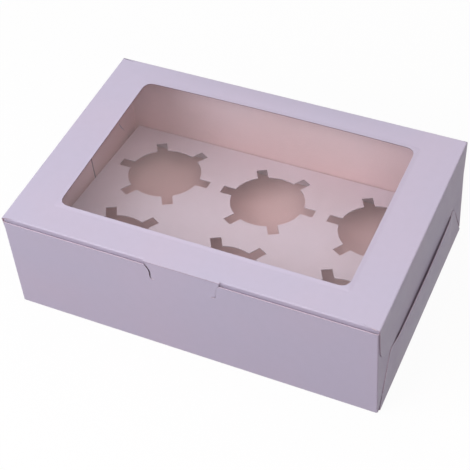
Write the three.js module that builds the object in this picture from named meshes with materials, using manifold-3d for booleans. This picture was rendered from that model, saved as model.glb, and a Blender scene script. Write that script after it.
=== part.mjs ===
import * as THREE from 'three';
import { mergeVertices } from 'three/addons/utils/BufferGeometryUtils.js';
import Module from 'manifold-3d';

// Folded cupcake box with a windowed lid and a cup insert. Millimetres, +Z up, front towards -Y.
// The origin is the middle of the underside.

// Card stock
const card = 0.45;
const foldInner = 0.45;
const play = 0.3;

// Box
const length = 240;
const depth = 160;
const height = 76.5;

// Front wall, with a lock tab between two slits in its top edge
const frontGap = 3.2;
const slitTopHalf = 24;
const slitHalf = 21.2;
const slitDepth = 11.3;
const slitHook = 2.8;
const slitWidth = 0.5;
const tabLean = 0.35;

// Side walls: return flaps folded from the front and back walls
const frontReturnReach = 99.5;
const backReturnReach = 100;
const joggleLength = 14;
const joggleSteps = 8;
const returnCorner = 6;
const reliefWidth = 2.2;
const reliefHidden = 3;

// Tongues that rise from the base outside the side walls, glued at their upper corners
const tongueHeight = 36;
const tongueEndInset = 2.8;
const tongueSlope = 0.484;
const tongueCorner = 3;
const tongueGlueLength = 2.7;
const pocketMidGap = 0.9;
const pocketRise = 24;
const leanAlongSteps = 36;
const leanUpSteps = 8;

// Lid
const tuckReach = 25;
const tuckSideGap = 1;
const tuckCorner = 8;
const earEndLength = 18.5;
const earCornerLength = 28.35;
const earGap = 0.6;
const earTabShoulder = 3.5;
const earTabTaper = 2.5;
const earTabReach = 8;
const earTabCorner = 2.5;
const pocketEndPlay = 2.5;
const hingeDrop = 1;

// Window and its film
const windowSideBorder = 27;
const windowFrontBorder = 23;
const windowBackBorder = 19;
const windowCorner = 6.5;
const filmSheet = 0.2;
const filmMargin = 8;
const glueLine = 0.1;

// Cup insert
const insertSideGap = 2.2;
const insertFrontHeight = 33.5;
const insertBackHeight = 17.1;
const cupColumns = 3;
const cupRows = 2;
const cupSideMargin = 7.9;
const cupSideWeb = 9.7;
const cupFoldMargin = 9.45;
const cupRowWeb = 7.6;
const cupShiftY = 0.9;
const notchCount = 6;
const notchWidth = 7.2;
const notchReach = 8.2;

// Places that follow from the sizes
const foldOuter = foldInner + card;
const halfLength = length / 2;
const halfDepth = depth / 2;
const sideOuter = halfLength - card - play;
const sideInner = sideOuter - card;
const wallInnerY = halfDepth - card;
const flapFoot = card + play;
const lidUnderside = height - card;
const frontWallTop = height - frontGap;
const lockTop = lidUnderside - play;
const hingeZ = height - hingeDrop;
const hingeY = halfDepth + play / 2;
const backWallTop = hingeZ - play;
const tuckFace = wallInnerY - tabLean - play;
const legFace = wallInnerY - play;
const earEnd = tuckFace - foldOuter;
const earFlatHalf = earEnd - earCornerLength;
const earBottom = tongueHeight + earGap;
const earShoulder = height - earEndLength;
const tabTopHalf = earFlatHalf - earTabShoulder;
const pocketHalf = tabTopHalf + pocketEndPlay;
const tongueBottomHalf = halfDepth - tongueEndInset;
const tongueTopHalf = tongueBottomHalf - tongueSlope * tongueHeight;

// Overlaps inside one piece, where shapes are joined, and the fineness of arcs
const lap = 2;
const bite = 0.02;
const arcSteps = 4;

const wasm = await Module();
wasm.setup();

function toSolid(geometry) {
  geometry.deleteAttribute('normal');
  geometry.deleteAttribute('uv');
  const merged = mergeVertices(geometry, 1e-5);
  const vertProperties = Float32Array.from(merged.attributes.position.array);
  const triVerts = Uint32Array.from(merged.index.array);
  return new wasm.Manifold(new wasm.Mesh({ numProp: 3, vertProperties, triVerts }));
}

function toGeometry(solid) {
  const mesh = solid.getMesh();
  const geometry = new THREE.BufferGeometry();
  geometry.setAttribute('position', new THREE.BufferAttribute(mesh.vertProperties, 3));
  geometry.setIndex(new THREE.BufferAttribute(mesh.triVerts, 1));
  geometry.computeVertexNormals();
  return geometry;
}

function joined(solids) {
  return solids.reduce((whole, solid) => whole.add(solid));
}

function onBothSides(solid) {
  return solid.add(solid.mirror([1, 0, 0]));
}

// Outlines pushed along one axis between two places

const axisX = new THREE.Vector3(1, 0, 0);
const axisY = new THREE.Vector3(0, 1, 0);
const axisZ = new THREE.Vector3(0, 0, 1);
const acrossX = new THREE.Matrix4().makeBasis(axisY, axisZ, axisX);
const acrossY = new THREE.Matrix4().makeBasis(axisX, axisZ, axisY.clone().negate());

function alongZ(outline, from, to, steps = 1) {
  const options = { depth: to - from, steps, curveSegments: arcSteps, bevelEnabled: false };
  return new THREE.ExtrudeGeometry(outline, options).translate(0, 0, from);
}

function alongX(outline, from, to, steps = 1) {
  return alongZ(outline, from, to, steps).applyMatrix4(acrossX);
}

function alongY(outline, from, to, steps = 1) {
  return alongZ(outline, -to, -from, steps).applyMatrix4(acrossY);
}

// Outline through [a, b, rounding] points; a rounding of 0 or none leaves the corner sharp
function roundedOutline(points) {
  const corners = points.map(([a, b]) => new THREE.Vector2(a, b));
  const shape = new THREE.Shape();
  corners.forEach((corner, i) => {
    const rounding = points[i][2] ?? 0;
    const before = corners[(i + corners.length - 1) % corners.length].clone().sub(corner).setLength(rounding);
    const after = corners[(i + 1) % corners.length].clone().sub(corner).setLength(rounding);
    const start = corner.clone().add(before);
    const end = corner.clone().add(after);
    if (i === 0) {
      shape.moveTo(start.x, start.y);
    } else {
      shape.lineTo(start.x, start.y);
    }
    if (rounding > 0) {
      shape.quadraticCurveTo(corner.x, corner.y, end.x, end.y);
    }
  });
  return shape;
}

// Section of a folded sheet. The points are the corners of its outer face, and the thickness lies
// to the right of the way they run. Each turn becomes an arc.
function foldedSection(points) {
  const corners = points.map(([a, b]) => new THREE.Vector2(a, b));
  const ways = corners.slice(1).map((corner, i) => corner.clone().sub(corners[i]).normalize());
  const rights = ways.map((way) => new THREE.Vector2(way.y, -way.x));
  const last = corners.length - 1;
  const shape = new THREE.Shape();
  shape.moveTo(corners[0].x, corners[0].y);
  const turns = [];
  for (let i = 1; i < last; i += 1) {
    const angle = Math.acos(Math.min(1, ways[i - 1].dot(ways[i])));
    const start = corners[i].clone().addScaledVector(ways[i - 1], -foldOuter * Math.tan(angle / 2));
    const centre = start.clone().addScaledVector(rights[i - 1], foldOuter);
    const from = rights[i - 1].clone().negate().angle();
    const to = rights[i].clone().negate().angle();
    turns.push({ centre, from, to });
    shape.lineTo(start.x, start.y);
    shape.absarc(centre.x, centre.y, foldOuter, from, to, true);
  }
  const end = corners[last].clone().addScaledVector(rights[last - 1], card);
  shape.lineTo(corners[last].x, corners[last].y);
  shape.lineTo(end.x, end.y);
  for (const { centre, from, to } of turns.reverse()) {
    shape.lineTo(centre.x + foldInner * Math.cos(to), centre.y + foldInner * Math.sin(to));
    shape.absarc(centre.x, centre.y, foldInner, to, from, false);
  }
  const close = corners[0].clone().addScaledVector(rights[0], card);
  shape.lineTo(close.x, close.y);
  return shape;
}

function smooth(value) {
  const t = Math.min(1, Math.max(0, value));
  return t * t * (3 - 2 * t);
}

// Rows of a sheet that runs out to x = outer, turns up through a fold and passes the given stops.
// Each row has a place on the outer face and the direction through the sheet.
function bendRows(outer, stops) {
  const rows = [{ at: [outer - foldOuter - lap, 0], inward: [0, 1] }];
  const arcRows = 2 * arcSteps;
  for (let i = 0; i <= arcRows; i += 1) {
    const angle = (Math.PI / 2) * (i / arcRows - 1);
    const way = [Math.cos(angle), Math.sin(angle)];
    const at = [outer + foldOuter * (way[0] - 1), foldOuter * (way[1] + 1)];
    rows.push({ at, inward: [-way[0], -way[1]] });
  }
  return rows.concat(stops.map((stop) => ({ at: [outer, stop], inward: [-1, 0] })));
}

function evenStops(from, to, count) {
  return Array.from({ length: count }, (_, i) => from + ((to - from) * (i + 1)) / count);
}

// Sheet bent along its rows, which lie in X and Z, and as wide as asked along Y
function bentSheet(rows, [fromY, toY], stepsY, lean) {
  const geometry = new THREE.BoxGeometry(1, toY - fromY, 1, 1, stepsY, rows.length - 1);
  geometry.translate(0, (fromY + toY) / 2, 0);
  const place = geometry.attributes.position;
  for (let i = 0; i < place.count; i += 1) {
    const { at, inward } = rows[Math.round((place.getZ(i) + 0.5) * (rows.length - 1))];
    const through = place.getX(i) < 0 ? card : 0;
    place.setX(i, at[0] + inward[0] * through + lean(place.getY(i), at[1]));
    place.setZ(i, at[1] + inward[1] * through);
  }
  return geometry;
}

// Tray

const slitFloor = frontWallTop - slitDepth;

// Outline between the slits, with S-shaped sides that hook inwards at their floor
function lockOutline(inset, top, neck) {
  const half = slitHalf - inset;
  const topHalf = slitTopHalf - inset;
  const floor = slitFloor + inset;
  const waist = frontWallTop - slitDepth / 2;
  const shoulder = frontWallTop - slitDepth / 4;
  const corner = slitHook - 2 * slitWidth;
  const shape = new THREE.Shape();
  shape.moveTo(-topHalf, top);
  shape.lineTo(-topHalf, frontWallTop + inset);
  shape.bezierCurveTo(-topHalf, frontWallTop - inset, -half, shoulder, -half, waist);
  shape.lineTo(-half, floor + corner);
  shape.quadraticCurveTo(-half, floor, -half + corner, floor);
  neck.forEach(([x, z]) => shape.lineTo(x, z));
  shape.lineTo(half - corner, floor);
  shape.quadraticCurveTo(half, floor, half, floor + corner);
  shape.lineTo(half, waist);
  shape.bezierCurveTo(half, shoulder, topHalf, frontWallTop - inset, topHalf, frontWallTop + inset);
  shape.lineTo(topHalf, top);
  return shape;
}

function lockOpening() {
  const outline = lockOutline(0, frontWallTop + lap, []);
  return toSolid(alongY(outline, -halfDepth - lap, -wallInnerY + lap));
}

function lockTab() {
  const foot = slitFloor - lap;
  const neckHalf = slitHalf - slitHook;
  const floor = slitFloor + slitWidth;
  const section = roundedOutline([
    [-halfDepth, foot],
    [-halfDepth, slitFloor],
    [-halfDepth + tabLean, lockTop],
    [-wallInnerY + tabLean, lockTop],
    [-wallInnerY, slitFloor],
    [-wallInnerY, foot],
  ]);
  const neck = [[-neckHalf, floor], [-neckHalf, foot], [neckHalf, foot], [neckHalf, floor]];
  const outline = lockOutline(slitWidth, lockTop + lap, neck);
  return toSolid(alongX(section, -length, length))
    .intersect(toSolid(alongY(outline, -halfDepth - lap, 0)));
}

function trayChannel() {
  const section = foldedSection([
    [halfDepth, backWallTop],
    [halfDepth, 0],
    [-halfDepth, 0],
    [-halfDepth, frontWallTop],
  ]);
  const halfWidth = sideOuter - foldOuter;
  return toSolid(alongX(section, -halfWidth, halfWidth)).subtract(lockOpening()).add(lockTab());
}

function frontReturn() {
  const joggleEnd = depth - backReturnReach - play;
  const joggleStart = joggleEnd - joggleLength;
  const inwards = (_, along) => -(card + play) * smooth((along - joggleStart) / joggleLength);
  const stops = [joggleStart, ...evenStops(joggleStart, joggleEnd, joggleSteps), frontReturnReach];
  const flap = bentSheet(bendRows(sideOuter, stops), [-frontWallTop, -flapFoot], 1, inwards);
  flap.rotateX(-Math.PI / 2).translate(0, -halfDepth, 0);
  const freeEnd = frontReturnReach - halfDepth;
  const outline = roundedOutline([
    [-depth, -lap],
    [freeEnd, flapFoot, returnCorner],
    [freeEnd, frontWallTop, returnCorner],
    [-depth, frontWallTop + lap],
  ]);
  return toSolid(flap).intersect(toSolid(alongX(outline, 0, length)));
}

function backReturn() {
  const freeEnd = halfDepth - backReturnReach;
  const section = foldedSection([
    [sideOuter - foldOuter - lap, halfDepth],
    [sideOuter, halfDepth],
    [sideOuter, freeEnd],
  ]);
  const outline = roundedOutline([
    [halfDepth + lap, -lap],
    [freeEnd, flapFoot, returnCorner],
    [freeEnd, backWallTop, returnCorner],
    [halfDepth + lap, backWallTop + lap],
  ]);
  const relief = roundedOutline([
    [tongueBottomHalf - reliefHidden, -lap],
    [tongueBottomHalf + reliefWidth, -lap],
    [tongueBottomHalf + reliefWidth, flapFoot],
    [tongueTopHalf + reliefWidth / 2, tongueHeight],
    [tongueBottomHalf - reliefHidden, flapFoot],
  ]);
  return toSolid(alongZ(section, flapFoot, backWallTop))
    .intersect(toSolid(alongX(outline, 0, length)))
    .subtract(toSolid(alongX(relief, sideInner - play, sideOuter + play)));
}

// The tongue leans out to leave a pocket for the lid's tab, and comes back to the side wall at its
// glued corners
function tongueLean(y, z) {
  const along = Math.abs(y);
  const glueStart = tongueTopHalf - tongueGlueLength;
  const pocket = card + play;
  const glued = -(play + bite);
  const bulge = Math.max(0, 1 - (along / pocketHalf) ** 2) * (pocketMidGap - play);
  const seat = smooth((along - pocketHalf) / (glueStart - pocketHalf));
  const full = pocket + bulge + (glued - pocket) * seat;
  const rise = Math.min(1, Math.max(0, z - foldOuter) / pocketRise);
  return full * Math.sin((Math.PI / 2) * rise);
}

function tongue() {
  const rows = bendRows(halfLength, evenStops(foldOuter, tongueHeight, leanUpSteps));
  const sheet = bentSheet(rows, [-tongueBottomHalf, tongueBottomHalf], leanAlongSteps, tongueLean);
  const outline = roundedOutline([
    [-tongueBottomHalf, -lap],
    [tongueBottomHalf, -lap],
    [tongueBottomHalf, foldOuter],
    [tongueTopHalf, tongueHeight, tongueCorner],
    [-tongueTopHalf, tongueHeight, tongueCorner],
    [-tongueBottomHalf, foldOuter],
  ]);
  return toSolid(sheet).intersect(toSolid(alongX(outline, 0, length)));
}

function makeTray() {
  const side = joined([frontReturn(), backReturn(), tongue()]);
  return toGeometry(joined([trayChannel(), onBothSides(side)]));
}

// Lid

function earOutline() {
  const shape = new THREE.Shape();
  const tabBottom = tongueHeight - earTabReach;
  const tabBottomHalf = tabTopHalf - earTabTaper;
  const cornerZ = earShoulder - earBottom;
  shape.moveTo(-earEnd, height + lap);
  shape.lineTo(-earEnd, earShoulder);
  shape.absellipse(-earFlatHalf, earShoulder, earCornerLength, cornerZ, Math.PI, 1.5 * Math.PI, false);
  shape.lineTo(-tabTopHalf, earBottom);
  shape.lineTo(-tabBottomHalf, tabBottom + earTabCorner);
  shape.quadraticCurveTo(-tabBottomHalf, tabBottom, -tabBottomHalf + earTabCorner, tabBottom);
  shape.lineTo(tabBottomHalf - earTabCorner, tabBottom);
  shape.quadraticCurveTo(tabBottomHalf, tabBottom, tabBottomHalf, tabBottom + earTabCorner);
  shape.lineTo(tabTopHalf, earBottom);
  shape.lineTo(earFlatHalf, earBottom);
  shape.absellipse(earFlatHalf, earShoulder, earCornerLength, cornerZ, 1.5 * Math.PI, 2 * Math.PI, false);
  shape.lineTo(earEnd, height + lap);
  return shape;
}

function panelAndEars() {
  const section = foldedSection([
    [-halfLength, 0],
    [-halfLength, height],
    [halfLength, height],
    [halfLength, 0],
  ]);
  return toSolid(alongY(section, -earEnd, earEnd))
    .intersect(toSolid(alongX(earOutline(), -length, length)));
}

// The tuck flap leans in, so that its foot passes the front wall as the lid swings up
function tuckFlap() {
  const swing = hingeY + tuckFace;
  const footZ = height - tuckReach;
  const footY = hingeY - Math.sqrt(swing ** 2 - (hingeZ - footZ) ** 2);
  const halfWidth = sideInner - tuckSideGap;
  const section = foldedSection([
    [footY, footZ],
    [-tuckFace, height],
    [-tuckFace + foldOuter + lap, height],
  ]);
  const outline = roundedOutline([
    [-halfWidth, height + lap],
    [-halfWidth, footZ, tuckCorner],
    [halfWidth, footZ, tuckCorner],
    [halfWidth, height + lap],
  ]);
  return toSolid(alongX(section, -halfWidth, halfWidth))
    .intersect(toSolid(alongY(outline, -depth, 0)))
    .subtract(lockSlot())
    .add(lockLip());
}

// The lid's front fold is slit over the lock tab, and leaves a flat lip above it
function lockSlot() {
  const half = slitTopHalf + play;
  const outline = roundedOutline([[-half, lockTop], [half, lockTop], [half, height + lap], [-half, height + lap]]);
  return toSolid(alongY(outline, -depth, -tuckFace + foldOuter));
}

function lockLip() {
  const half = slitTopHalf + play;
  const back = -tuckFace + foldOuter + lap / 2;
  const outline = roundedOutline([[-half, -halfDepth], [half, -halfDepth], [half, back], [-half, back]]);
  return toSolid(alongZ(outline, lidUnderside, height));
}

function backFold() {
  const halfWidth = sideOuter - foldOuter;
  const section = foldedSection([
    [halfDepth - foldOuter - 2 * lap, height],
    [halfDepth, height],
    [halfDepth, hingeZ],
  ]);
  return toSolid(alongX(section, -halfWidth, halfWidth));
}

const windowHalf = halfLength - windowSideBorder;
const windowFront = -halfDepth + windowFrontBorder;
const windowBack = halfDepth - windowBackBorder;

function windowCut() {
  const outline = roundedOutline([
    [-windowHalf, windowFront, windowCorner],
    [windowHalf, windowFront, windowCorner],
    [windowHalf, windowBack, windowCorner],
    [-windowHalf, windowBack, windowCorner],
  ]);
  return toSolid(alongZ(outline, lidUnderside - lap, height + lap));
}

function makeLid() {
  const lid = joined([panelAndEars(), tuckFlap(), backFold()]).subtract(windowCut());
  return toGeometry(lid.translate([0, -hingeY, -hingeZ]));
}

function makeFilm() {
  const half = windowHalf + filmMargin;
  const front = windowFront - filmMargin - hingeY;
  const back = windowBack + filmMargin - hingeY;
  const outline = roundedOutline([[-half, front], [half, front], [half, back], [-half, back]]);
  const top = lidUnderside - glueLine - hingeZ;
  return alongZ(outline, top - filmSheet, top);
}

// Insert: stands on its two legs, its own zero at their feet

function cupHole(tipRadius) {
  const shape = new THREE.Shape();
  const cupRadius = tipRadius - notchReach;
  const step = (2 * Math.PI) / notchCount;
  const mouth = Math.asin(notchWidth / 2 / cupRadius);
  for (let k = 0; k < notchCount; k += 1) {
    const way = new THREE.Vector2(Math.cos(k * step), Math.sin(k * step));
    const across = new THREE.Vector2(-way.y, way.x).multiplyScalar(notchWidth / 2);
    const tip = way.clone().multiplyScalar(tipRadius);
    const first = tip.clone().sub(across);
    const second = tip.clone().add(across);
    if (k === 0) {
      shape.moveTo(first.x, first.y);
    } else {
      shape.lineTo(first.x, first.y);
    }
    shape.lineTo(second.x, second.y);
    const arcFrom = k * step + mouth;
    const arcTo = (k + 1) * step - mouth;
    shape.lineTo(cupRadius * Math.cos(arcFrom), cupRadius * Math.sin(arcFrom));
    shape.absarc(0, 0, cupRadius, arcFrom, arcTo, false);
  }
  return shape;
}

function makeInsert() {
  const halfWidth = sideInner - insertSideGap;
  const frontTop = insertFrontHeight - flapFoot;
  const backTop = insertBackHeight - flapFoot;
  const section = foldedSection([
    [-legFace, 0],
    [-legFace, frontTop],
    [legFace, backTop],
    [legFace, 0],
  ]);
  const sheet = toSolid(alongX(section, -halfWidth, halfWidth));
  const slope = Math.atan2(backTop - frontTop, 2 * legFace);
  const spaceX = 2 * (halfWidth - cupSideMargin);
  const spaceY = 2 * (legFace - cupFoldMargin);
  const tipRadius = Math.min(
    (spaceX - (cupColumns - 1) * cupSideWeb) / (2 * cupColumns),
    (spaceY - (cupRows - 1) * cupRowWeb) / (2 * cupRows),
  );
  const pitchX = (spaceX - 2 * tipRadius) / (cupColumns - 1);
  const pitchY = (spaceY - 2 * tipRadius) / (cupRows - 1);
  const holes = [];
  for (let column = 0; column < cupColumns; column += 1) {
    for (let row = 0; row < cupRows; row += 1) {
      const x = (column - (cupColumns - 1) / 2) * pitchX;
      const y = (row - (cupRows - 1) / 2) * pitchY + cupShiftY;
      const z = (frontTop + backTop) / 2 + y * Math.tan(slope);
      const cutter = alongZ(cupHole(tipRadius), -lap, lap).rotateX(slope).translate(x, y, z);
      holes.push(toSolid(cutter));
    }
  }
  return toGeometry(sheet.subtract(joined(holes)));
}

// Scene graph

function cardMaterial(colour) {
  return new THREE.MeshStandardMaterial({ color: colour, roughness: 0.7, metalness: 0 });
}

const lilac = 0xc9c0d6;
const warmGrey = 0xcbbfc4;

function named(name, geometry, material) {
  const mesh = new THREE.Mesh(geometry, material);
  mesh.name = name;
  return mesh;
}

const box = new THREE.Group();
box.add(named('tray', makeTray(), cardMaterial(lilac)));

const insert = named('insert', makeInsert(), cardMaterial(warmGrey));
insert.position.z = flapFoot;
box.add(insert);

const lidAtHinge = new THREE.Group();
lidAtHinge.position.set(0, hingeY, hingeZ);
lidAtHinge.add(named('lid', makeLid(), cardMaterial(lilac)));
const clear = new THREE.MeshStandardMaterial({
  color: 0xf4f6f8,
  roughness: 0.08,
  metalness: 0,
  transparent: true,
  opacity: 0.2,
});
lidAtHinge.add(named('window_film', makeFilm(), clear));
box.add(lidAtHinge);

export default box;
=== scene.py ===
import math

import bmesh
import bpy
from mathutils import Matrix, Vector, noise
from mathutils.bvhtree import BVHTree


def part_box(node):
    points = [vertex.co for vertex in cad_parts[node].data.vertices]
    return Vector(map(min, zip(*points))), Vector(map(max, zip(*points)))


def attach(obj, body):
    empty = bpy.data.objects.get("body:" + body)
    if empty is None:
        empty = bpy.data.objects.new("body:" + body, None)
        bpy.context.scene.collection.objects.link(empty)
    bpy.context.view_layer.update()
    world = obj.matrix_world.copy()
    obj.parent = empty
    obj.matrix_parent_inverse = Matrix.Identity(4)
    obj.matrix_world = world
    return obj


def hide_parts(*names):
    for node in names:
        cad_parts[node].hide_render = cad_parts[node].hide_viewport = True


MM = 0.001

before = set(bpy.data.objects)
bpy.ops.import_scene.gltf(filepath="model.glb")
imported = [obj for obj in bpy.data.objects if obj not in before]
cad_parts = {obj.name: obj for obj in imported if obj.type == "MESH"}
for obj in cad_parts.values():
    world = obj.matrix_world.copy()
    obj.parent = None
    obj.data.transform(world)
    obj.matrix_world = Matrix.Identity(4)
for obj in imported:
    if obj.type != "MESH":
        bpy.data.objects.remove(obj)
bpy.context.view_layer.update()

# Sizes taken from the frame
_, TRAY_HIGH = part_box("tray")
_, LID_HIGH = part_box("lid")
FILM_LOW, FILM_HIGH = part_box("window_film")
INSERT_LOW, INSERT_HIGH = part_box("insert")
TOP = LID_HIGH.z
HALF_LENGTH = LID_HIGH.x
HALF_DEPTH = TRAY_HIGH.y
CENTRE = Vector((0, 0, TOP / 2))

# Card
CARD = 0.45 * MM
# The fourth slot holds painted shade, the fifth a painted highlight.
PRINTED, PLAIN, CUT, SHADE_SLOT, HIGHLIGHT_SLOT = range(5)

# Window, whose film is glued on a margin round it
FILM_MARGIN = 8 * MM
WINDOW_HALF = FILM_HIGH.x - FILM_MARGIN
WINDOW_FRONT = FILM_LOW.y + FILM_MARGIN
WINDOW_BACK = FILM_HIGH.y - FILM_MARGIN

# Photograph
PHOTO_SIDE = 470
FOCAL_PIXELS = 1253.8
CAMERA_AZIMUTH = math.radians(27.99)
CAMERA_ELEVATION = math.radians(47.11)
CAMERA_ROLL = math.radians(-5.29)
CAMERA_DISTANCE = 787.1 * MM
CAMERA_TARGET = Vector((-0.57, -8.64, 35.1)) * MM
SENSOR_WIDTH = 36
NEAREST_SEEN = 10 * MM

# Studio
WORLD_LIGHT = (0.95, 0.93, 1.0, 1)
WORLD_STRENGTH = 0.21
FLOOR_HALF = 3.0
FLOOR_DROP = 0.1 * MM
FLOOR_COLOUR = (0.9, 0.9, 0.9, 1)
FLOOR_BOUNCE = (0.29, 0.245, 0.27, 1)
FLOOR_SHADOW_SHARE = 0.06
WHITE = (1, 1, 1, 1)
LIGHT_AIM = Vector((0, 0, 0.04))

# Each lamp's place, size, power and colour
LAMPS = {
    "key": ((-0.7, -0.82, 0.8), 1.3, 12.4, (0.97, 0.965, 1.0)),
    "overhead": ((-0.15, 0.6, 1.25), 1.3, 5.0, (1.0, 0.985, 0.99)),
    "warm_right": ((0.36, -0.4, 1.2), 1.3, 4.8, (1.0, 0.88, 0.83)),
    "warm_front": ((0.42, -0.95, 0.95), 0.8, 2.9, (1.0, 0.85, 0.78)),
}


# Camera

def add_camera():
    data = bpy.data.cameras.new("camera")
    data.sensor_width = SENSOR_WIDTH
    data.lens = FOCAL_PIXELS / PHOTO_SIDE * data.sensor_width
    data.clip_start = NEAREST_SEEN
    camera = bpy.data.objects.new("camera", data)
    bpy.context.scene.collection.objects.link(camera)
    level = math.cos(CAMERA_ELEVATION)
    back = Vector((
        math.sin(CAMERA_AZIMUTH) * level,
        -math.cos(CAMERA_AZIMUTH) * level,
        math.sin(CAMERA_ELEVATION),
    ))
    right = Vector((0, 0, 1)).cross(back).normalized()
    up = back.cross(right)
    turned_right = right * math.cos(CAMERA_ROLL) + up * math.sin(CAMERA_ROLL)
    turned_up = up * math.cos(CAMERA_ROLL) - right * math.sin(CAMERA_ROLL)
    place = CAMERA_TARGET + back * CAMERA_DISTANCE
    matrix = camera.matrix_world.copy()
    for row in range(3):
        matrix[row][0] = turned_right[row]
        matrix[row][1] = turned_up[row]
        matrix[row][2] = back[row]
        matrix[row][3] = place[row]
    camera.matrix_world = matrix
    bpy.context.scene.camera = camera


# Stage and light

def add_area(name, place, size, power, colour):
    data = bpy.data.lights.new(name, "AREA")
    data.shape = "DISK"
    data.size = size
    data.energy = power
    data.color = colour
    lamp = bpy.data.objects.new(name, data)
    bpy.context.scene.collection.objects.link(lamp)
    lamp.location = place
    lamp.rotation_mode = "QUATERNION"
    lamp.rotation_quaternion = (LIGHT_AIM - Vector(place)).to_track_quat("-Z", "Y")


def larger(nodes, links, first, second):
    node = nodes.new("ShaderNodeMath")
    node.operation = "MAXIMUM"
    links.new(first, node.inputs[0])
    links.new(second, node.inputs[1])
    return node.outputs[0]


def is_seen_ray(nodes, links):
    """1 for a ray from the camera and for what it sees in gloss or through film, 0 for bounced light."""
    path = nodes.new("ShaderNodeLightPath").outputs
    direct = larger(nodes, links, path["Is Camera Ray"], path["Is Glossy Ray"])
    return larger(nodes, links, direct, path["Is Transmission Ray"])


def add_world():
    world = bpy.data.worlds.new("studio")
    bpy.context.scene.world = world
    world.use_nodes = True
    nodes, links = world.node_tree.nodes, world.node_tree.links
    nodes.clear()
    output = nodes.new("ShaderNodeOutputWorld")
    mix = nodes.new("ShaderNodeMixShader")
    lit = nodes.new("ShaderNodeBackground")
    lit.inputs["Color"].default_value = WORLD_LIGHT
    lit.inputs["Strength"].default_value = WORLD_STRENGTH
    white = nodes.new("ShaderNodeBackground")
    white.inputs["Color"].default_value = WHITE
    links.new(is_seen_ray(nodes, links), mix.inputs["Fac"])
    links.new(lit.outputs[0], mix.inputs[1])
    links.new(white.outputs[0], mix.inputs[2])
    links.new(mix.outputs[0], output.inputs["Surface"])


def add_floor():
    """White where it is seen, but for the object's faint shadow, and dim and warm in bounced light."""
    mesh = bpy.data.meshes.new("floor")
    corners = [(x * FLOOR_HALF, y * FLOOR_HALF, 0) for x, y in ((-1, -1), (1, -1), (1, 1), (-1, 1))]
    mesh.from_pydata(corners, [], [(0, 1, 2, 3)])
    floor = bpy.data.objects.new("floor", mesh)
    bpy.context.scene.collection.objects.link(floor)
    floor.location.z = -FLOOR_DROP
    material = bpy.data.materials.new("floor")
    material.use_nodes = True
    nodes, links = material.node_tree.nodes, material.node_tree.links
    nodes.clear()
    output = nodes.new("ShaderNodeOutputMaterial")
    diffuse = nodes.new("ShaderNodeBsdfDiffuse")
    diffuse.inputs["Color"].default_value = FLOOR_COLOUR
    bounce = nodes.new("ShaderNodeBsdfDiffuse")
    bounce.inputs["Color"].default_value = FLOOR_BOUNCE
    glow = nodes.new("ShaderNodeEmission")
    glow.inputs["Color"].default_value = WHITE
    seen = nodes.new("ShaderNodeMixShader")
    seen.inputs["Fac"].default_value = FLOOR_SHADOW_SHARE
    links.new(glow.outputs[0], seen.inputs[1])
    links.new(diffuse.outputs[0], seen.inputs[2])
    mix = nodes.new("ShaderNodeMixShader")
    links.new(is_seen_ray(nodes, links), mix.inputs["Fac"])
    links.new(bounce.outputs[0], mix.inputs[1])
    links.new(seen.outputs[0], mix.inputs[2])
    links.new(mix.outputs[0], output.inputs["Surface"])
    mesh.materials.append(material)


def add_lights():
    for name, (place, size, power, colour) in LAMPS.items():
        add_area(name, place, size, power, colour)


# Materials

def linear(red, green, blue):
    """A screen colour from 0 to 255 as a linear colour."""
    def channel(value):
        share = value / 255
        return share / 12.92 if share <= 0.04045 else ((share + 0.055) / 1.055) ** 2.4
    return (channel(red), channel(green), channel(blue), 1)


LILAC = linear(195, 187, 207)
LILAC_TINT = linear(192, 187, 208)
INSIDE = linear(230, 212, 220)
INSIDE_TINT = linear(229, 207, 212)
# Painted warm shade, blended in towards the base of the inner walls.
INSIDE_SHADE = linear(222, 188, 188)
INSERT = linear(213, 200, 211)
INSERT_TINT = linear(212, 196, 205)
# Painted shade for the window's cut edge, the left slit and the end of the inner side flap.
PAINTED_SHADE_COLOUR = linear(138, 120, 130)
PAINTED_SHADE_TINT = linear(128, 110, 120)
EDGE = linear(200, 188, 203)
EDGE_TINT = linear(190, 177, 192)
# Painted highlight for the front wall's top edge and the right slit.
PAINTED_HIGHLIGHT_COLOUR = linear(228, 214, 227)
PAINTED_HIGHLIGHT_TINT = linear(220, 205, 219)

# Each noise is a scale, a detail and a roughness
DRIFT = (14, 3, 0.5)
DRIFT_RANGE = (0.35, 0.65)
SPECK = (180, 5, 0.5)
SPECK_RANGE = (0.3, 0.7)
FIBRE = (900, 4, 0.65)
FIBRE_HEIGHT = 0.05 * MM
ROUGHNESS_SWING = 0.06
# Height from which the inner card has no painted shade.
PAINTED_SHADE_HEIGHT = 62 * MM

FILM_COLOUR = (0.94, 0.95, 0.97, 1)
FILM_ROUGHNESS = 0.08
FILM_IOR = 1.5
FILM_ALPHA = (0.03, 0.06)
HAZE = (9, 2, 0.5)
WAVE = (22, 1, 0.5)
WAVE_STRENGTH = 0.3
WAVE_HEIGHT = 0.4 * MM


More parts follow.
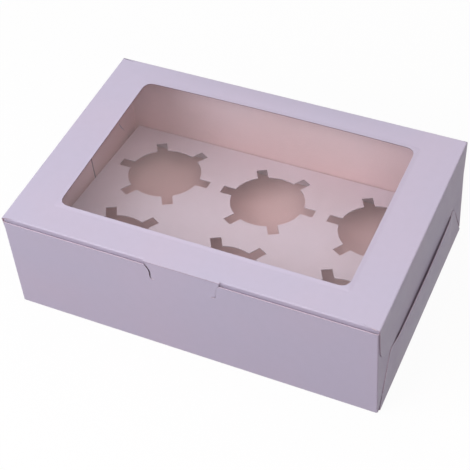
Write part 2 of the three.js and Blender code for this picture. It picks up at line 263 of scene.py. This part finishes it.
class Shade:
    """A new material's node tree, with short ways to add the nodes that the materials share."""

    def __init__(self, name):
        self.material = bpy.data.materials.new(name)
        self.material.use_nodes = True
        self.nodes = self.material.node_tree.nodes
        self.links = self.material.node_tree.links
        self.shader = self.nodes["Principled BSDF"].inputs
        self.place = self.nodes.new("ShaderNodeTexCoord").outputs["Object"]

    def noise(self, scale, detail, roughness):
        node = self.nodes.new("ShaderNodeTexNoise")
        node.inputs["Scale"].default_value = scale
        node.inputs["Detail"].default_value = detail
        node.inputs["Roughness"].default_value = roughness
        self.links.new(self.place, node.inputs["Vector"])
        return node.outputs["Fac"]

    def ranged(self, value, source, target=(0, 1)):
        """Maps a value from the source range to the target range."""
        node = self.nodes.new("ShaderNodeMapRange")
        for end, number in zip(("From Min", "From Max", "To Min", "To Max"), source + target):
            node.inputs[end].default_value = number
        self.links.new(value, node.inputs["Value"])
        return node.outputs["Result"]

    def relief(self, height, strength, distance):
        node = self.nodes.new("ShaderNodeBump")
        node.inputs["Strength"].default_value = strength
        node.inputs["Distance"].default_value = distance
        self.links.new(height, node.inputs["Height"])
        self.links.new(node.outputs["Normal"], self.shader["Normal"])

    def mixed(self, share, first, second):
        """Mixes a colour or an output with a second colour by the share."""
        node = self.nodes.new("ShaderNodeMix")
        node.data_type = "RGBA"
        self.links.new(share, node.inputs["Factor"])
        if isinstance(first, tuple):
            node.inputs["A"].default_value = first
        else:
            self.links.new(first, node.inputs["A"])
        node.inputs["B"].default_value = second
        return node.outputs["Result"]

    def multiplied(self, colour, factor):
        node = self.nodes.new("ShaderNodeMix")
        node.data_type = "RGBA"
        node.blend_type = "MULTIPLY"
        node.inputs["Factor"].default_value = 1
        self.links.new(colour, node.inputs["A"])
        self.links.new(factor, node.inputs["B"])
        return node.outputs["Result"]

    def height_share(self, height):
        """1 at the base and 0 from the height on."""
        node = self.nodes.new("ShaderNodeSeparateXYZ")
        self.links.new(self.place, node.inputs[0])
        return self.ranged(node.outputs["Z"], (0, height), (1, 0))


def card_material(name, colour, tint, mottle, roughness, sheen, bump, shade_colour=None):
    """Coated or plain card: a soft drift of colour, fine specks and a fibre grain, with painted shade
    towards the base where a shade colour is given.
    """
    shade = Shade(name)
    speck = shade.noise(*SPECK)
    ground = shade.mixed(shade.ranged(shade.noise(*DRIFT), DRIFT_RANGE), colour, tint)
    # Painted shade towards the base.
    if shade_colour:
        ground = shade.mixed(shade.height_share(PAINTED_SHADE_HEIGHT), ground, shade_colour)
    grain = shade.ranged(speck, SPECK_RANGE, (1 - mottle, 1 + mottle))
    shade.links.new(shade.multiplied(ground, grain), shade.shader["Base Color"])
    swing = (roughness - ROUGHNESS_SWING, roughness + ROUGHNESS_SWING)
    shade.links.new(shade.ranged(speck, SPECK_RANGE, swing), shade.shader["Roughness"])
    shade.relief(shade.noise(*FIBRE), bump, FIBRE_HEIGHT)
    shade.shader["Specular IOR Level"].default_value = sheen
    return shade.material


def printed_card():
    return card_material(
        "lilac_print", LILAC, LILAC_TINT, mottle=0.012, roughness=0.5, sheen=0.35, bump=0.25)


def plain_card(name, colour, tint, shade_colour=None):
    return card_material(
        name, colour, tint, mottle=0.02, roughness=0.75, sheen=0.2, bump=0.4, shade_colour=shade_colour)


def raw_edge(name, colour, tint, mottle=0.05):
    return card_material(name, colour, tint, mottle, roughness=0.9, sheen=0.1, bump=0.6)


def film_material():
    """Clear glossy film with a faint uneven haze and a long ripple."""
    shade = Shade("clear_film")
    haze = shade.noise(*HAZE)
    shade.links.new(shade.ranged(haze, SPECK_RANGE, FILM_ALPHA), shade.shader["Alpha"])
    shade.relief(shade.noise(*WAVE), WAVE_STRENGTH, WAVE_HEIGHT)
    shade.shader["Base Color"].default_value = FILM_COLOUR
    shade.shader["Roughness"].default_value = FILM_ROUGHNESS
    shade.shader["IOR"].default_value = FILM_IOR
    return shade.material


# Where a place on the card lies

FRONT_WALL_DEPTH = 1 * MM
SLIT_HALF = 25 * MM
SLIT_TOP = 73.5 * MM
FLAP_LAYER = (HALF_LENGTH - 6 * MM, 118.6 * MM)
FLAP_END = 19.5 * MM
FLAP_RIM = 1 * MM
FLAP_PLAY = 0.1 * MM
RIM_MARGIN = 2 * MM
PANEL_DEPTH = 1 * MM
OUTER_LAYER = HALF_LENGTH - 0.8 * MM
MOSTLY_SIDEWAYS = 0.8
MOSTLY_UPWARDS = 0.7


def at_front_wall(place):
    return place.y < -HALF_DEPTH + FRONT_WALL_DEPTH


def in_slit(place):
    """In one of the two slits beside the lock tab."""
    return at_front_wall(place) and abs(place.x) < SLIT_HALF and place.z < SLIT_TOP


def at_flap_end(place):
    """In the last millimetre of the inner side flaps, which gets a painted shadow line."""
    in_layer = FLAP_LAYER[0] < abs(place.x) < FLAP_LAYER[1]
    return in_layer and FLAP_END - FLAP_RIM < place.y < FLAP_END + FLAP_PLAY


def in_window(place):
    within_x = abs(place.x) < FILM_HIGH.x - RIM_MARGIN
    within_y = FILM_LOW.y + RIM_MARGIN < place.y < FILM_HIGH.y - RIM_MARGIN
    return within_x and within_y and place.z > TOP - PANEL_DEPTH


def at_outer_side(face):
    """On the outside of a side wall, where two layers that are glued together count as one side."""
    return abs(face.center.x) > OUTER_LAYER and abs(face.normal.x) > MOSTLY_SIDEWAYS


# Pieces of card

SAME_PLACE = 0.0005 * MM
ON_PLANE = 0.0001 * MM
RAY_START = 0.01 * MM
RAY_REACH = 3 * CARD
THROUGH_CARD = 1.5 * CARD
SHARP_FOLD = math.radians(28)
SHARP_FILM = math.radians(40)
FACE_WEIGHT = 90


def evenly(low, high, count):
    """The places that cut a length into so many equal parts."""
    return [low + (high - low) * i / count for i in range(1, count)]


def card_mesh(node, name, grid):
    """A copy of the node's own form, cut along the grid's planes so that it can bow."""
    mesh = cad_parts[node].data.copy()
    mesh.name = name
    mesh.materials.clear()
    work = bmesh.new()
    work.from_mesh(mesh)
    bmesh.ops.remove_doubles(work, verts=work.verts, dist=SAME_PLACE)
    for axis, cuts in enumerate(grid):
        normal = Vector((0, 0, 0))
        normal[axis] = 1
        for cut in cuts:
            everything = work.verts[:] + work.edges[:] + work.faces[:]
            bmesh.ops.bisect_plane(
                work, geom=everything, dist=ON_PLANE, plane_co=normal * cut, plane_no=normal)
    work.to_mesh(mesh)
    work.free()
    return mesh


def cut_face_slot(face):
    """Cut card gets painted shade round the window and in the left slit, and a painted highlight in the
    right slit and on the front wall's top edge.
    """
    # The front wall's upward top edge gets a painted highlight.
    if at_front_wall(face.center) and face.normal.z > MOSTLY_UPWARDS:
        return HIGHLIGHT_SLOT
    # The left slit gets painted shade, the right slit a painted highlight.
    if in_slit(face.center):
        return SHADE_SLOT if face.center.x < 0 else HIGHLIGHT_SLOT
    return SHADE_SLOT if in_window(face.center) else CUT


def sides_of_card(mesh):
    """Sorts the faces: one with its twin a card thickness away, straight through the card, is a side."""
    points = [vertex.co.copy() for vertex in mesh.vertices]
    tree = BVHTree.FromPolygons(points, [face.vertices[:] for face in mesh.polygons])
    for face in mesh.polygons:
        start = face.center - face.normal * RAY_START
        distance = tree.ray_cast(start, -face.normal, RAY_REACH)[3]
        is_cut = distance is None or distance > THROUGH_CARD
        if is_cut and not at_outer_side(face):
            face.material_index = cut_face_slot(face)
        # A painted shadow line along the free end of the inner side flap.
        elif at_flap_end(face.center):
            face.material_index = SHADE_SLOT
        else:
            faces_out = face.normal.dot(face.center - CENTRE) > 0
            face.material_index = PRINTED if faces_out else PLAIN


def shade_smooth(mesh, sharp_angle):
    mesh.set_sharp_from_angle(angle=sharp_angle)
    for face in mesh.polygons:
        face.use_smooth = True


def card_piece(node, name, body, materials, grid, bow):
    mesh = card_mesh(node, name, grid)
    for material in materials:
        mesh.materials.append(material)
    sides_of_card(mesh)
    for vertex in mesh.vertices:
        vertex.co += bow(vertex.co)
    shade_smooth(mesh, SHARP_FOLD)
    piece = bpy.data.objects.new(name, mesh)
    bpy.context.scene.collection.objects.link(piece)
    even = piece.modifiers.new("even_shading", "WEIGHTED_NORMAL")
    even.keep_sharp = True
    even.weight = FACE_WEIGHT
    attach(piece, body)
    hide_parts(node)
    return piece


# Soft steps

def smooth(value):
    t = min(1, max(0, value))
    return t * t * (3 - 2 * t)


def ramp(value, span):
    """0 up to the span's start and 1 past its length."""
    start, length = span
    return smooth((value - start) / length)


def hump(value, low, high):
    """0 at both ends and 1 in the middle, with a level start."""
    t = min(1, max(0, (value - low) / (high - low)))
    return math.sin(math.pi * t) ** 2


# Bow of the lid: each span is the start and the length of a ramp

BACK_BOW = 1.8 * MM
BACK_BOW_DEPTH = 16 * MM
BOW_HALF = HALF_LENGTH - 4 * MM
BOW_START = WINDOW_FRONT + 20 * MM
BOW_SPAN = (BOW_START, WINDOW_BACK - BOW_START)
EDGE_CURL = 0.4 * MM
CURL_REACH = 3 * MM
PANEL_SPAN = (TOP - 2 * MM, 1 * MM)
CORNER_REACH = 1.4 * MM
CORNER_SPAN = (HALF_LENGTH - 4.4 * MM, 1 * MM)
UPPER_SPAN = (TOP - 1.4 * MM, 0.4 * MM)
PANEL_END_SPAN = (HALF_DEPTH - 2.6 * MM, 0.3 * MM)
FOLD_START_SPAN = (HALF_DEPTH - 1.9 * MM, 0.05 * MM)
FOLD_END_SPAN = (HALF_LENGTH - 2.6 * MM, 0.2 * MM)
FOLD_ROW_SPAN = (HALF_DEPTH - 1.99 * MM, 0.02 * MM)
EAR_SPAN = (HALF_LENGTH - 1.6 * MM, 0.3 * MM)


def corner_reach(place):
    """The panel's corners run out to the front and back folds, and the folds run out to the corners."""
    along, across = abs(place.x), abs(place.y)
    upper = ramp(place.z, UPPER_SPAN)
    panel_end = ramp(across, PANEL_END_SPAN) * (1 - ramp(across, FOLD_START_SPAN))
    forward = CORNER_REACH * ramp(along, CORNER_SPAN) * upper * panel_end
    fold_end = ramp(along, FOLD_END_SPAN) * (1 - ramp(along, EAR_SPAN))
    sideways = CORNER_REACH * fold_end * ramp(across, FOLD_ROW_SPAN) * upper
    return math.copysign(sideways, place.x), math.copysign(forward, place.y)


def back_lift(place):
    """The panel lifts along the back crease, most in the middle."""
    along = max(0.0, 1 - (place.x / BOW_HALF) ** 2)
    from_back = min(1, max(0, HALF_DEPTH - place.y) / BACK_BOW_DEPTH)
    return BACK_BOW * along * math.sin(math.pi / 2 * from_back) * ramp(place.y, BOW_SPAN)


def window_curl(place):
    """The panel curls up a little towards the window."""
    near_x = max(0, abs(place.x) - WINDOW_HALF)
    near_y = max(0, WINDOW_FRONT - place.y, place.y - WINDOW_BACK)
    return EDGE_CURL * (1 - smooth(math.hypot(near_x, near_y) / CURL_REACH))


def lid_bow(place):
    sideways, forward = corner_reach(place)
    lift = ramp(place.z, PANEL_SPAN) * (back_lift(place) + window_curl(place))
    return Vector((sideways, forward, lift))


# Bow of the tray

TONGUE_FOOT_HALF = 77.2 * MM
TONGUE_SLOPE = 0.484
TONGUE_FACE = 119.4 * MM
SIDE_WALL_DEPTH = 4 * MM

RELIEF_COVER = 1.3 * MM
RELIEF_TIP = 33.5 * MM
RELIEF_GIVE = 6 * MM
RELIEF_FOOT = 2.2 * MM
RELIEF_TAPER = 1.1 * MM
RELIEF_HEIGHT = 36 * MM
RELIEF_SKIN = 0.15 * MM

EDGE_PRESS = 0.85
PRESS_REACH = 2.2 * MM
PRESS_PLANE = 119.3 * MM
PRESS_SPAN = (0, 6 * MM)
PRESS_LOWEST = 1 * MM
TONGUE_LAYER = HALF_LENGTH - 0.2 * MM

FLAP_SPRING = 0.9 * MM
FLAP_FREE = 28 * MM
FLAP_RISE = (0, 30 * MM)

TAB_SHIFT = 0.32 * MM
TAB_SPAN = (62.5 * MM, 3 * MM)
WALL_SKIN = 0.03 * MM

BASE_SPREAD = 0.9 * MM
SPREAD_HEIGHT = 70 * MM
SPREAD_SPAN = (60 * MM, 55 * MM)

WALL_BELLY = 0.35 * MM
LONG_WALL_SPAN = (HALF_DEPTH - 1.2 * MM, 0.6 * MM)


def tongue_edge(height):
    return TONGUE_FOOT_HALF - TONGUE_SLOPE * height


def relief_shut(place):
    """On the left, the card behind the tongue's back edge reaches under it, up to a pinhole at its top."""
    if not -TONGUE_FACE < place.x < -HALF_LENGTH + SIDE_WALL_DEPTH or place.z > RELIEF_TIP:
        return 0
    beyond = place.y - tongue_edge(place.z)
    if beyond < RELIEF_SKIN:
        return 0
    widest = RELIEF_FOOT - RELIEF_TAPER * place.z / RELIEF_HEIGHT
    return -(widest + RELIEF_COVER) * (1 - smooth((beyond - widest) / RELIEF_GIVE))


def edge_press(place):
    """The tongues' slanted front edges are pressed thin against the side walls."""
    if abs(place.x) < TONGUE_LAYER or place.y > 0 or place.z < PRESS_LOWEST:
        return 0
    inside_edge = place.y + tongue_edge(place.z)
    proud = max(0, abs(place.x) - PRESS_PLANE)
    return -EDGE_PRESS * proud * (1 - smooth(inside_edge / PRESS_REACH)) * ramp(place.z, PRESS_SPAN)


def flap_spring(place):
    """The free end of the inner left side flap springs a little away from the wall."""
    if not FLAP_LAYER[0] < -place.x < FLAP_LAYER[1] or place.y > FLAP_END + FLAP_RIM:
        return 0
    along = ramp(place.y, (FLAP_END - FLAP_FREE, FLAP_FREE))
    return -FLAP_SPRING * along * ramp(place.z, FLAP_RISE)


def tab_shift(place):
    """The lock tab sits a little to the right, which opens its left slit and narrows the right one."""
    if abs(place.x) > SLIT_HALF or not at_front_wall(place):
        return 0
    off_wall = min(abs(place.y + HALF_DEPTH), abs(place.y + HALF_DEPTH - CARD))
    return TAB_SHIFT * ramp(place.z, TAB_SPAN) if off_wall > WALL_SKIN else 0


def base_spread(place):
    """The side walls stand a little wider at their foot."""
    return BASE_SPREAD * ramp(abs(place.x), SPREAD_SPAN) * (1 - min(1, place.z / SPREAD_HEIGHT))


def wall_belly(place):
    """The long walls belly out a fraction, as thin card does."""
    belly = WALL_BELLY * hump(place.x, -HALF_LENGTH, HALF_LENGTH) * hump(place.z, 0, TOP)
    return math.copysign(belly * ramp(abs(place.y), LONG_WALL_SPAN), place.y)


def tray_bow(place):
    out = math.copysign(edge_press(place) + base_spread(place) + flap_spring(place), place.x)
    return Vector((out + tab_shift(place), wall_belly(place) + relief_shut(place), 0))


# Bow of the insert

INSERT_SHIFT = 1.2 * MM
RIPPLE = 0.5 * MM
RIPPLE_SCALE = 18


def insert_bow(place):
    """The insert lies to the right in its play, and its panel ripples slightly between its holes."""
    ripple = noise.noise(Vector((place.x, place.y, 0)) * RIPPLE_SCALE) * RIPPLE
    inside = math.sqrt(hump(place.y, INSERT_LOW.y, INSERT_HIGH.y))
    return Vector((INSERT_SHIFT, 0, ripple * inside))


# Window film

FILM_COLUMNS = 48
FILM_ROWS = 32
DRAPE = 0.5 * MM
DRAPE_SCALE = (14, 20)
DRAPE_SEED = 3


def film_height(x, y):
    """The film follows the lid's bow and drapes slightly where it is free, inside its glued edge."""
    free = hump(x, FILM_LOW.x, FILM_HIGH.x) * hump(y, FILM_LOW.y, FILM_HIGH.y)
    drape = noise.noise(Vector((x * DRAPE_SCALE[0], y * DRAPE_SCALE[1], DRAPE_SEED))) * DRAPE
    return drape * math.sqrt(free) + lid_bow(Vector((x, y, TOP))).z


def film_layer(work, level):
    """Rows of vertices over the film's whole size."""
    size = FILM_HIGH - FILM_LOW
    layer = []
    for j in range(FILM_ROWS + 1):
        y = FILM_LOW.y + size.y * j / FILM_ROWS
        across = [FILM_LOW.x + size.x * i / FILM_COLUMNS for i in range(FILM_COLUMNS + 1)]
        layer.append([work.verts.new((x, y, level + film_height(x, y))) for x in across])
    return layer


def film_rim():
    """The rows and columns of the rim's vertices, once round."""
    rim = [(j, 0) for j in range(FILM_ROWS, 0, -1)]
    rim += [(0, i) for i in range(FILM_COLUMNS)]
    rim += [(j, FILM_COLUMNS) for j in range(FILM_ROWS)]
    rim += [(FILM_ROWS, i) for i in range(FILM_COLUMNS, 0, -1)]
    return rim


def film_mesh():
    mesh = bpy.data.meshes.new("window_sheet")
    work = bmesh.new()
    low = film_layer(work, FILM_LOW.z)
    high = film_layer(work, FILM_HIGH.z)
    for j in range(FILM_ROWS):
        for i in range(FILM_COLUMNS):
            work.faces.new((high[j][i], high[j][i + 1], high[j + 1][i + 1], high[j + 1][i]))
            work.faces.new((low[j][i], low[j + 1][i], low[j + 1][i + 1], low[j][i + 1]))
    rim = film_rim()
    for (a, b), (c, d) in zip(rim, rim[1:] + rim[:1]):
        work.faces.new((low[a][b], low[c][d], high[c][d], high[a][b]))
    work.to_mesh(mesh)
    work.free()
    shade_smooth(mesh, SHARP_FILM)
    return mesh


def film_piece():
    mesh = film_mesh()
    mesh.materials.append(film_material())
    piece = bpy.data.objects.new("window_sheet", mesh)
    bpy.context.scene.collection.objects.link(piece)
    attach(piece, "lid")
    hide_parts("window_film")


# The box: where each grid cuts the card, close together where it bends

FRONT_REACH = 24 * MM
CURL_STEPS = 4
WIDE_CUTS = evenly(-HALF_LENGTH, HALF_LENGTH, 24)
DEEP_CUTS = evenly(-HALF_DEPTH, HALF_DEPTH, 20)
FRONT_CUTS = evenly(-HALF_DEPTH, -HALF_DEPTH + FRONT_REACH, 12) + [FLAP_END - FLAP_RIM]
TALL_CUTS = evenly(0, TOP, 8) + [RELIEF_TIP - MM, RELIEF_TIP + MM]
BACK_CUTS = evenly(HALF_DEPTH - BACK_BOW_DEPTH, HALF_DEPTH, 6)
CURL_ROWS = [CURL_REACH * i / CURL_STEPS for i in range(1, CURL_STEPS + 1)]


def tray_piece(stock):
    tray = card_piece("tray", "tray_card", "tray", stock, (WIDE_CUTS, FRONT_CUTS, TALL_CUTS), tray_bow)


def lid_piece(stock):
    sides = [side * (WINDOW_HALF + row) for row in CURL_ROWS for side in (-1, 1)]
    border = [WINDOW_FRONT - row for row in CURL_ROWS] + [WINDOW_BACK + row for row in CURL_ROWS]
    grid = (WIDE_CUTS + sides, DEEP_CUTS + border + BACK_CUTS, [])
    lid = card_piece("lid", "lid_card", "lid", stock, grid, lid_bow)


def insert_piece(stock):
    insert = card_piece("insert", "insert_card", "tray", stock, (WIDE_CUTS, DEEP_CUTS, []), insert_bow)


def build_box():
    lilac = printed_card()
    # Inner card with painted shade towards its base.
    inside = plain_card("inner_card", INSIDE, INSIDE_TINT, INSIDE_SHADE)
    holder = plain_card("insert_card", INSERT, INSERT_TINT)
    edge = raw_edge("cut_edge", EDGE, EDGE_TINT)
    # Painted shade for the window's cut edge, the left slit and the flap end.
    rim = raw_edge("painted_shade_line", PAINTED_SHADE_COLOUR, PAINTED_SHADE_TINT)
    # Painted highlight for the front wall's top edge and the right slit.
    pale = raw_edge("painted_highlight_edge", PAINTED_HIGHLIGHT_COLOUR, PAINTED_HIGHLIGHT_TINT, mottle=0.03)
    stock = [lilac, inside, edge, rim, pale]
    tray_piece(stock)
    lid_piece(stock)
    insert_piece([holder, holder, edge, rim, edge])
    film_piece()


scene = bpy.context.scene
scene.view_settings.view_transform = "Standard"
add_camera()
add_world()
add_floor()
add_lights()
build_box()
